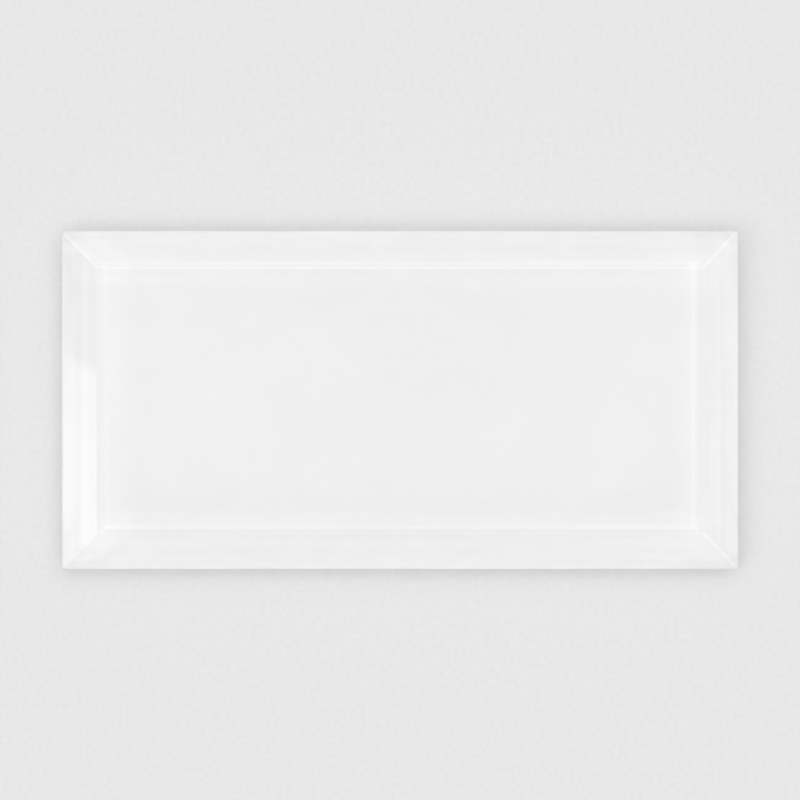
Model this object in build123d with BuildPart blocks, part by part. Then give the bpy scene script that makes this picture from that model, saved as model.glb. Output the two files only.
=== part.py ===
from build123d import *
import os

# Beveled glass wall tile, painted white on its back, lying face up.
# Millimetres. The origin is the middle of the underside, +X runs along the tile and +Z out of its face.

# Clear pane
length = 150.0
width = 75.0
pane_thickness = 8.0

# Bevel round the face: its width seen from the front, and the upright edge that it leaves
bevel_width = 8.3
edge_height = 5.0

# Lines softened by grinding and polishing
arris_radius = 1.8
corner_radius = 0.8
rim_radius = 0.8
back_seam = 0.4

# White coat on the back
coat_thickness = 0.15

# Levels, from the underside of the coat
back_level = coat_thickness
rim_level = back_level + edge_height

os.makedirs("parts", exist_ok=True)

# Pane: a flat slab whose face is ground away to four mitred facets round a flat field
with BuildPart() as glass_pane:
    with BuildSketch(Plane.XY.offset(back_level)):
        Rectangle(length, width)
    extrude(amount=pane_thickness)
    face = glass_pane.faces().sort_by(Axis.Z)[-1]
    chamfer(face.edges(), length=bevel_width, length2=pane_thickness - edge_height, reference=face)

    # The four sides of the field and the four mitres are the highest lines of the slab
    mitres, field_sides = glass_pane.edges().group_by(Axis.Z)[-2:]
    fillet(mitres + field_sides, radius=arris_radius)
    fillet(glass_pane.edges().filter_by(Axis.Z), radius=corner_radius)

    # The rim is where the facets meet the upright edges
    rim = glass_pane.edges().filter_by_position(
        Axis.Z,
        minimum=rim_level - corner_radius,
        maximum=rim_level + corner_radius,
    )
    fillet(rim, radius=rim_radius)
    chamfer(glass_pane.faces().sort_by(Axis.Z)[0].edges(), length=back_seam)

# Coat: a film over the whole flat back of the pane, up to its seam
with BuildPart() as back_coat:
    extrude(glass_pane.faces().sort_by(Axis.Z)[0], amount=coat_thickness)

for name, piece in (("glass_pane", glass_pane), ("back_coat", back_coat)):
    piece.part.label = name
    export_step(piece.part, f"parts/{name}.step")
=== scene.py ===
import math

import bpy
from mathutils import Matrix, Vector


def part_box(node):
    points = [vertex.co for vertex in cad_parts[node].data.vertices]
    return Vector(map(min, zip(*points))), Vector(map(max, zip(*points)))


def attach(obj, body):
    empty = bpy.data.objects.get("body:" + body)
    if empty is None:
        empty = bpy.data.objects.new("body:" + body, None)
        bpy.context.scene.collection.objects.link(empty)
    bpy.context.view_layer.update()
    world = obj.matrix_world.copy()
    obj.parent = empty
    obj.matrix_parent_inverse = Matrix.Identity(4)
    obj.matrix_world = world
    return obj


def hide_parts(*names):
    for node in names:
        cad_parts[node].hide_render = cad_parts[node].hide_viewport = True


# Looks of the beveled glass tile: a clear polished pane over its white back coat,
# lying on a pale floor. Metres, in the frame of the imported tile.

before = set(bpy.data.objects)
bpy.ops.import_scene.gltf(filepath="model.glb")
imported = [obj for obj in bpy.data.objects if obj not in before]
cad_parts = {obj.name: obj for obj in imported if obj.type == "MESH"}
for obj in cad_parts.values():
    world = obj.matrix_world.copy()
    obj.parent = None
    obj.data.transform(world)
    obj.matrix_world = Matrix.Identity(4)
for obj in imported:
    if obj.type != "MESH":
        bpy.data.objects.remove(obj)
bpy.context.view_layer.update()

MM = 0.001

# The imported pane's own sizes
BEVEL_WIDTH = 8.3 * MM
EDGE_HEIGHT = 5.0 * MM
ARRIS_RADIUS = 1.8 * MM
CORNER_RADIUS = 0.8 * MM
RIM_RADIUS = 0.8 * MM
BACK_SEAM = 0.4 * MM

# How finely the pane's outline is drawn
SIDE_STEP = 1.0 * MM
CORNER_STEPS = 8
RIM_STEPS = 8
ARRIS_STEPS = 8
FACET_STEPS = 6
WALL_STEPS = 4

# How the glass is finished, from polished to fully ground
POLISHED = 0.0
GROUND = 1.0

# The coat is bonded to the glass: it reaches this far into it, so that no air shows between them
COAT_BOND = 0.01 * MM
COAT_ROUND = 0.04 * MM

pane_low, pane_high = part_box("glass_pane")
coat_low, coat_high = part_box("back_coat")
HALF_X = pane_high.x
HALF_Y = pane_high.y
BACK_Z = pane_low.z
FACE_Z = pane_high.z
RIM_Z = BACK_Z + EDGE_HEIGHT
SLOPE = math.atan2(FACE_Z - RIM_Z, BEVEL_WIDTH)


# Meshes


def arc(centre_inset, centre_z, radius, start, end, steps):
    """Points of a rounding: inset, height, and outward and upward parts of the normal."""
    points = []
    for i in range(steps + 1):
        lift = start + (end - start) * i / steps
        out, up = math.cos(lift), math.sin(lift)
        points.append((centre_inset - radius * out, centre_z + radius * up, out, up))
    return points


def edge_section():
    """The pane's edge from back to field: inset, height, normal out and up, and how ground it is."""
    slant = math.sqrt(0.5)
    rows = [
        (BACK_SEAM, BACK_Z, 0.0, -1.0, GROUND),
        (BACK_SEAM, BACK_Z, slant, -slant, GROUND),
        (0.0, BACK_Z + BACK_SEAM, slant, -slant, GROUND),
    ]
    facet_lift = math.pi / 2 - SLOPE
    rim_z = RIM_Z + RIM_RADIUS * math.tan(SLOPE) - RIM_RADIUS / math.cos(SLOPE)
    rim = arc(RIM_RADIUS, rim_z, RIM_RADIUS, 0.0, facet_lift, RIM_STEPS)
    wall_z = BACK_Z + BACK_SEAM
    for i in range(WALL_STEPS + 1):
        rows.append((0.0, wall_z + (rim_z - wall_z) * i / WALL_STEPS, 1.0, 0.0, GROUND))
    for i, point in enumerate(rim[1:]):
        rows.append((*point, GROUND - (i + 1) / RIM_STEPS))

    arris_z = FACE_Z - ARRIS_RADIUS
    arris_inset = (ARRIS_RADIUS / math.cos(SLOPE) + arris_z - RIM_Z) / math.tan(SLOPE)
    arris = arc(arris_inset, arris_z, ARRIS_RADIUS, facet_lift, math.pi / 2, ARRIS_STEPS)
    foot, head = rim[-1], arris[0]
    for i in range(1, FACET_STEPS):
        share = i / FACET_STEPS
        inset = foot[0] + (head[0] - foot[0]) * share
        height = foot[1] + (head[1] - foot[1]) * share
        rows.append((inset, height, math.cos(facet_lift), math.sin(facet_lift), POLISHED))
    rows.extend((*point, POLISHED) for point in arris)
    return rows


def corner_radius_at(inset):
    """The outline's corner is round at the upright edge and nearly sharp along the mitre."""
    return max(CORNER_RADIUS - inset, ARRIS_RADIUS * SLOPE)


def outline(inset):
    """A rounded rectangle inset from the pane's sides: places and the ways that they face."""
    radius = corner_radius_at(inset)
    reach_x, reach_y = HALF_X - inset - radius, HALF_Y - inset - radius
    count_x, count_y = round(2 * HALF_X / SIDE_STEP), round(2 * HALF_Y / SIDE_STEP)
    corners = ((reach_x, -reach_y), (reach_x, reach_y), (-reach_x, reach_y), (-reach_x, -reach_y))
    points = []
    for side, (start, end) in enumerate(zip(corners, corners[1:] + corners[:1])):
        turn = side * math.pi / 2
        facing = Vector((math.cos(turn), math.sin(turn)))
        start, end = Vector(start), Vector(end)
        count = count_x if side % 2 else count_y
        for i in range(count + 1):
            points.append((start.lerp(end, i / count) + facing * radius, facing))
        for i in range(1, CORNER_STEPS):
            angle = turn + math.pi / 2 * i / CORNER_STEPS
            direction = Vector((math.cos(angle), math.sin(angle)))
            points.append((end + direction * radius, direction))
    return points


def skin(section):
    """A closed mesh from a section carried round the outline, with its normals and grinding."""
    vertices, normals, ground, faces, rings = [], [], [], [], []
    for inset, height, out, up, rough in section:
        ring = []
        for place, facing in outline(inset):
            ring.append(len(vertices))
            vertices.append((place.x, place.y, height))
            crown = abs(facing.x) + abs(facing.y)
            normals.append(Vector((facing.x * out, facing.y * out, up * crown)).normalized())
            ground.append(rough)
        rings.append(ring)
    for k in range(len(rings) - 1):
        lower, upper = rings[k], rings[k + 1]
        if section[k][:2] == section[k + 1][:2]:
            continue
        for i in range(len(lower)):
            j = (i + 1) % len(lower)
            faces.append((lower[i], lower[j], upper[j], upper[i]))
    faces.append(tuple(rings[-1]))
    faces.append(tuple(reversed(rings[0])))
    return vertices, normals, ground, faces


def add_piece(name, section, node, material):
    vertices, normals, ground, faces = skin(section)
    mesh = bpy.data.meshes.new(name)
    mesh.from_pydata(vertices, [], faces)
    mesh.shade_smooth()
    mesh.normals_split_custom_set_from_vertices(normals)
    layer = mesh.attributes.new("ground", "FLOAT", "POINT")
    layer.data.foreach_set("value", ground)
    mesh.materials.append(material)
    piece = bpy.data.objects.new(name, mesh)
    bpy.context.scene.collection.objects.link(piece)
    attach(piece, "root")
    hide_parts(node)


# Shader nodes

# Noise seldom leaves this range
NOISE_LOW = 0.3
NOISE_HIGH = 0.7


class Wire:
    """A number that flows through shader nodes, and takes plain arithmetic."""

    def __init__(self, tree, socket):
        self.tree = tree
        self.socket = socket

    def __add__(self, other):
        return self.tree.math("ADD", self, other)

    def __sub__(self, other):
        return self.tree.math("SUBTRACT", self, other)

    def __rsub__(self, other):
        return self.tree.math("SUBTRACT", other, self)

    def __mul__(self, other):
        return self.tree.math("MULTIPLY", self, other)

    def __truediv__(self, other):
        return self.tree.math("DIVIDE", self, other)

    def __lt__(self, other):
        return self.tree.math("LESS_THAN", self, other)

    def __gt__(self, other):
        return self.tree.math("GREATER_THAN", self, other)

    def __abs__(self):
        return self.tree.math("ABSOLUTE", self)

    def sign(self):
        return self.tree.math("SIGN", self)

    def fade(self, low, high, start=0.0, end=1.0):
        """start up to low, end from high on, and a smooth slope between them."""
        node = self.tree.add("ShaderNodeMapRange", interpolation_type="SMOOTHSTEP")
        for socket, value in zip(node.inputs, (self, low, high, start, end)):
            self.tree.feed(socket, value)
        return Wire(self.tree, node.outputs[0])

    def spread(self, start, end):
        """start to end over the usual range of a noise."""
        return self.fade(NOISE_LOW, NOISE_HIGH, start, end)

    def line(self, reach):
        """One where the number is nought, falling to nothing at reach from it."""
        return abs(self).fade(0.0, reach, 1.0, 0.0)


class Tree:
    """The shader nodes of a material or of the world."""

    def __init__(self, owner):
        owner.use_nodes = True
        self.nodes = owner.node_tree.nodes
        self.links = owner.node_tree.links

    def add(self, kind, **settings):
        node = self.nodes.new(kind)
        for name, value in settings.items():
            setattr(node, name, value)
        return node

    def feed(self, socket, value):
        if isinstance(value, Wire):
            value = value.socket
        if isinstance(value, bpy.types.NodeSocket):
            self.links.new(value, socket)
        else:
            socket.default_value = value

    def math(self, operation, *values):
        node = self.add("ShaderNodeMath", operation=operation)
        for socket, value in zip(node.inputs, values):
            self.feed(socket, value)
        return Wire(self, node.outputs[0])

    def split(self, vector):
        node = self.add("ShaderNodeSeparateXYZ")
        self.feed(node.inputs[0], vector)
        return [Wire(self, socket) for socket in node.outputs]

    def join(self, x, y, z):
        node = self.add("ShaderNodeCombineXYZ")
        for socket, value in zip(node.inputs, (x, y, z)):
            self.feed(socket, value)
        return node.outputs[0]

    def noise(self, vector, per_metre, detail):
        node = self.add("ShaderNodeTexNoise")
        self.feed(node.inputs["Vector"], vector)
        node.inputs["Scale"].default_value = per_metre
        node.inputs["Detail"].default_value = detail
        return Wire(self, node.outputs["Fac"])

    def bump(self, height, distance, strength):
        node = self.add("ShaderNodeBump")
        node.inputs["Distance"].default_value = distance
        self.feed(node.inputs["Strength"], strength)
        self.feed(node.inputs["Height"], height)
        return node.outputs["Normal"]


class TilePlace:
    """Where a point of the tile lies, and how far in from its ends and its long sides."""

    def __init__(self, tree):
        self.tree = tree
        self.vector = tree.add("ShaderNodeTexCoord").outputs["Object"]
        self.x, self.y, self.z = tree.split(self.vector)
        self.end = HALF_X - abs(self.x)
        self.side = HALF_Y - abs(self.y)
        self.inset = tree.math("MINIMUM", self.end, self.side)
        self.by_end = self.end < self.side

    def streaks(self):
        """Marks of the wheel, which run along the nearest edge of the tile."""
        run = self.y * self.by_end + self.x * (1.0 - self.by_end)
        vector = self.tree.join(self.inset, run * STREAK_DRIFT + self.z, self.by_end)
        return self.tree.noise(vector, STREAKS_PER_METRE, STREAK_DETAIL)


# Materials

# Glass
GLASS_INDEX = 1.52
GLASS_TINT = (0.5, 0.875, 0.75, 1)
TINT_PER_METRE = 1.3
GROUND_ROUGHNESS = 0.38
GROUND_BUMP = 0.15
FACET_ROUGHNESS = 0.02
FACET_BUMP = 0.25
LEAST_ROUGH = 0.7
MOST_ROUGH = 1.2

# Marks of the wheel
STREAKS_PER_METRE = 900.0
STREAK_DETAIL = 4.0
STREAK_DRIFT = 0.015
STREAK_DEPTH = 0.002 * MM

# The coat's white looks neutral through the faintly green glass
WHITE = (0.869, 0.859, 0.863)
BRIGHTEST = 1.14
COAT_ROUGHNESS = 0.65
DULL_SPECULAR = 0.15
MOTTLES_PER_METRE = 60.0
MOTTLE_DETAIL = 3.0
MOTTLE = 0.006
STIPPLES_PER_METRE = 1400.0
STIPPLE_DETAIL = 2.0
STIPPLE_DEPTH = 0.01 * MM
STIPPLE_BUMP = 0.5

# Floor
FLOOR_SIZE = 60.0
FLOOR_GRAINS_PER_METRE = 900.0
FLOOR_DETAIL = 3.0
FLOOR_DARK = 0.60
FLOOR_LIGHT = 0.62
FLOOR_ROUGHNESS = 0.85

# Frame of painted light lines in the coat's colour, standing for the light that the arrises throw on
# the coat, and a second, fainter pair by the ends.
# They lie at these insets, reach this far to either side and are this much lighter than the coat.
# By the lean they differ between top and bottom, or between left and right.
FRAME_AT_SIDES = 8.6 * MM
FRAME_LEAN = 0.65 * MM
SIDE_LINE_REACH = 0.85 * MM
SIDE_LINE = 0.058
FRAME_AT_ENDS = 9.75 * MM
END_LINE_REACH = 0.8 * MM
END_LINE = 0.036
END_LINE_LEAN = 0.016
MITRE_LINE = 0.042
SECOND_AT_ENDS = 5.35 * MM
SECOND_LEAN = 0.45 * MM
SECOND_REACH = 0.7 * MM
SECOND_LINE = 0.025
SECOND_LINE_LEAN = 0.011

# The coat under the facets, darker by painted shade and carrying the wheel's marks, stronger by the
# ends
FACET_OUTER = BEVEL_WIDTH - 0.6 * MM
FACET_INNER = BEVEL_WIDTH + 0.5 * MM
FACET_SHADE = 0.027
END_FACET_SHADE = 0.011
MARKS = 0.006
END_MARKS = 0.010

# Painted light and shade in the coat's colour: the lighter rim, the darker apron along the long sides,
# and the darker corners
RIM_REACH = 4.6 * MM
RIM_PAINTED_LIGHT = 0.165
END_RIM_PAINTED_LIGHT = 0.015
APRON_INSET = 10.0 * MM
APRON_REACH = 17.0 * MM
APRON_FROM_ENDS = 30.0 * MM
APRON_SHADE = 0.03
CORNER_INSET = 2.0 * MM
CORNER_REACH = 12.0 * MM
CORNER_SHADE = 0.13


def clear_glass():
    """Polished face and facets, faintly marked by the wheel, and finely ground edges."""
    material = bpy.data.materials.new("clear_glass")
    tree = Tree(material)
    place = TilePlace(tree)
    shader = tree.nodes["Principled BSDF"]
    shader.inputs["Base Color"].default_value = (1, 1, 1, 1)
    shader.inputs["IOR"].default_value = GLASS_INDEX
    shader.inputs["Transmission Weight"].default_value = 1.0

    streaks = place.streaks()
    ground = Wire(tree, tree.add("ShaderNodeAttribute", attribute_name="ground").outputs["Fac"])
    facet = place.inset.fade(BEVEL_WIDTH - ARRIS_RADIUS * SLOPE, BEVEL_WIDTH, 1.0, 0.0)
    roughness = facet * FACET_ROUGHNESS + ground * GROUND_ROUGHNESS
    tree.feed(shader.inputs["Roughness"], roughness * streaks.spread(LEAST_ROUGH, MOST_ROUGH))
    strength = facet * FACET_BUMP + ground * ground * GROUND_BUMP
    tree.feed(shader.inputs["Normal"], tree.bump(streaks, STREAK_DEPTH, strength))

    body = tree.add("ShaderNodeVolumeAbsorption")
    body.inputs["Color"].default_value = GLASS_TINT
    body.inputs["Density"].default_value = TINT_PER_METRE
    tree.feed(tree.nodes["Material Output"].inputs["Volume"], body.outputs[0])
    return material


def painted_light_and_shade(place):
    """Painted light and shade in the coat's colour: the light lines that the bevels and arrises throw,
    painted shade and the wheel's marks under the facets, a lighter rim, and a darker apron and corners.
    """
    end, side, inset = place.end, place.side, place.inset
    by_side = 1.0 - place.by_end
    rightward, upward = place.x.sign(), place.y.sign()
    frame_side = FRAME_AT_SIDES - upward * FRAME_LEAN
    second_end = SECOND_AT_ENDS - rightward * SECOND_LEAN
    in_frame = side > frame_side

    # Painted light lines: the light that the arrises and mitres throw on the coat, drawn into its
    # colour
    side_lines = (side - frame_side).line(SIDE_LINE_REACH) * by_side * SIDE_LINE
    end_glow = rightward * END_LINE_LEAN + END_LINE
    end_lines = (end - FRAME_AT_ENDS).line(END_LINE_REACH) * in_frame * end_glow
    mitre = (end - side).line(END_LINE_REACH) * (inset > BEVEL_WIDTH)
    mitre_lines = mitre * (1.0 - in_frame) * MITRE_LINE
    second_glow = SECOND_LINE - rightward * SECOND_LINE_LEAN
    second_lines = (end - second_end).line(SECOND_REACH) * place.by_end * second_glow

    # Painted shade and the wheel's marks under the facets, painted light at the rim, painted shade in
    # the apron along the long sides and in the corners
    facet = inset.fade(FACET_OUTER, FACET_INNER, 1.0, 0.0)
    marks = place.streaks().spread(-1.0, 1.0) * (place.by_end * END_MARKS + MARKS)
    facet_marks_and_painted_shade = facet * (marks - place.by_end * END_FACET_SHADE - FACET_SHADE)
    rim_painted_light = inset.fade(BACK_SEAM, RIM_REACH, 1.0, 0.0) * (place.by_end * END_RIM_PAINTED_LIGHT + RIM_PAINTED_LIGHT)
    apron = side.fade(APRON_INSET, APRON_REACH, 1.0, 0.0)
    apron *= end.fade(BEVEL_WIDTH, APRON_FROM_ENDS, 0.0, 1.0)
    corner = end.fade(CORNER_INSET, CORNER_REACH, 1.0, 0.0)
    corner *= side.fade(CORNER_INSET, CORNER_REACH, 1.0, 0.0)
    marks_painted_light_and_shade = facet_marks_and_painted_shade + rim_painted_light - apron * APRON_SHADE - corner * CORNER_SHADE
    return side_lines + end_lines + mitre_lines + second_lines + marks_painted_light_and_shade


def white_coat():
    """White paint, a little mottled, with painted light lines and painted shade on its side under the
    glass, and matte with a fine stipple on its outer side.
    """
    material = bpy.data.materials.new("white_coat")
    tree = Tree(material)
    place = TilePlace(tree)
    shader = tree.nodes["Principled BSDF"]
    shader.inputs["Roughness"].default_value = COAT_ROUGHNESS
    shader.inputs["Specular IOR Level"].default_value = DULL_SPECULAR

    # Painted light and shade go only on the coat's side under the glass; its outer side keeps the plain
    # mottled white
    under_glass = place.z > coat_high.z - COAT_BOND
    mottle = tree.noise(place.vector, MOTTLES_PER_METRE, MOTTLE_DETAIL).spread(-MOTTLE, MOTTLE)
    tone = painted_light_and_shade(place) * under_glass + mottle + 1.0
    tone = tree.math("MINIMUM", tone, BRIGHTEST)
    tree.feed(shader.inputs["Base Color"], tree.join(*(tone * share for share in WHITE)))
    stipple = tree.noise(place.vector, STIPPLES_PER_METRE, STIPPLE_DETAIL)
    tree.feed(shader.inputs["Normal"], tree.bump(stipple, STIPPLE_DEPTH, STIPPLE_BUMP))
    return material


def pale_floor():
    """Plain matte grey with a fine grain."""
    material = bpy.data.materials.new("pale_floor")
    tree = Tree(material)
    shader = tree.nodes["Principled BSDF"]
    vector = tree.add("ShaderNodeTexCoord").outputs["Object"]
    tone = tree.noise(vector, FLOOR_GRAINS_PER_METRE, FLOOR_DETAIL).spread(FLOOR_DARK, FLOOR_LIGHT)
    tree.feed(shader.inputs["Base Color"], tree.join(tone, tone, tone))
    shader.inputs["Roughness"].default_value = FLOOR_ROUGHNESS
    shader.inputs["Specular IOR Level"].default_value = DULL_SPECULAR
    return material


# The pane and its coat

add_piece("pane", edge_section(), "glass_pane", clear_glass())

coat_top = coat_high.z + COAT_BOND
coat_section = [
    (BACK_SEAM + COAT_ROUND, coat_low.z, 0.0, -1.0, POLISHED),
    (BACK_SEAM, coat_low.z + COAT_ROUND, 1.0, 0.0, POLISHED),
    (BACK_SEAM, coat_top, 1.0, 0.0, POLISHED),
    (BACK_SEAM, coat_top, 0.0, 1.0, POLISHED),
]
add_piece("coat", coat_section, "back_coat", white_coat())

bpy.ops.mesh.primitive_plane_add(size=FLOOR_SIZE, location=(0, 0, 0))
floor = bpy.context.object
floor.name = "floor"
floor.data.materials.append(pale_floor())


# Room light, drawn on a ceiling one unit up: u runs to the right and v away from the viewer

ROOM_LIGHT = 1.127
HORIZON_LIGHT = 0.3
HORIZON_LOW = 0.15
HORIZON_HIGH = 0.65
LEAST_HEIGHT = 0.05
FAR_SIDE_LIGHT = 0.1
BACKDROP_LIGHT = 0.79

# Boxes as centre, half size and edge: one over each corner, one beyond the tile, and the camera's shade
CORNER_LIGHT = 1.5
CORNER_BOX = ((0.5, 0.46), (0.26, 0.24), 0.05)
FAR_LIGHT = 1.1
FAR_BOX = ((0.0, 0.49), (0.15, 0.35), 0.03)
CAMERA_SHADE = 0.45
CAMERA_BOX = ((0.013, 0.015), (0.05, 0.04), 0.05)

# The window at the left and the dark wall beyond it, as low, high and the edge at either end
WINDOW_LIGHT = 1.7
WINDOW_TOP_LIGHT = 1.15
WINDOW_TOP = (-0.4, -0.33)
WINDOW_SLANT = 0.33
WINDOW_ACROSS = (-1.7, -0.8, 0.15, 0.004)
WINDOW_ALONG = (-1.572, -0.328, 0.15, 0.004)
WALL_SHADE = 0.5
WALL_ACROSS = (-1.7, -0.816, 0.3, 0.004)
WALL_ALONG = (-0.328, 0.6, 0.004, 0.3)


def between(value, low, high, low_edge, high_edge):
    """One from low to high, falling to nothing over an edge of its own at either end."""
    rise = value.fade(low - low_edge, low + low_edge)
    return rise * value.fade(high - high_edge, high + high_edge, 1.0, 0.0)


def soft_box(u, v, centre, half, edge):
    """One inside a rectangle of the ceiling, falling to nothing over its edge."""
    across = between(u, centre[0] - half[0], centre[0] + half[0], edge, edge)
    return across * between(v, centre[1] - half[1], centre[1] + half[1], edge, edge)


def room():
    """A white room, drawn by where a direction meets the ceiling."""
    world = bpy.data.worlds.new("room")
    bpy.context.scene.world = world
    tree = Tree(world)
    x, y, z = tree.split(tree.add("ShaderNodeTexCoord").outputs["Generated"])
    height = tree.math("MAXIMUM", z, LEAST_HEIGHT)
    u, v = x / height, y / height
    slant = v + u * WINDOW_SLANT

    light = z.fade(HORIZON_LOW, HORIZON_HIGH, HORIZON_LIGHT, ROOM_LIGHT)
    light += v.fade(-1.0, 1.0, -FAR_SIDE_LIGHT, FAR_SIDE_LIGHT)
    light += soft_box(abs(u), abs(v), *CORNER_BOX) * CORNER_LIGHT
    light += soft_box(u, v, *FAR_BOX) * FAR_LIGHT
    window_light = slant.fade(*WINDOW_TOP, WINDOW_LIGHT, WINDOW_TOP_LIGHT)
    light += between(u, *WINDOW_ACROSS) * between(slant, *WINDOW_ALONG) * window_light
    light -= between(u, *WALL_ACROSS) * between(slant, *WALL_ALONG) * WALL_SHADE
    light -= soft_box(u, v, *CAMERA_BOX) * CAMERA_SHADE
    seen = Wire(tree, tree.add("ShaderNodeLightPath").outputs["Is Camera Ray"])
    light = light * (1.0 - seen) + seen * BACKDROP_LIGHT
    background = tree.nodes["Background"]
    background.inputs["Color"].default_value = (1, 1, 1, 1)
    tree.feed(background.inputs["Strength"], light)


room()

# Camera: straight above the tile, as the photograph looks at it
TILE_SHARE = 0.85
CAMERA_HEIGHT = 0.6

camera_data = bpy.data.cameras.new("camera")
camera_data.lens = camera_data.sensor_width * TILE_SHARE * CAMERA_HEIGHT / (2 * HALF_X)
camera = bpy.data.objects.new("camera", camera_data)
camera.location = (0, 0, FACE_Z + CAMERA_HEIGHT)
bpy.context.scene.collection.objects.link(camera)
bpy.context.scene.camera = camera
bpy.context.scene.view_settings.view_transform = "Standard"

# Light that reaches the coat through the polished face keeps its sharpness
bpy.context.scene.cycles.blur_glossy = 0.0
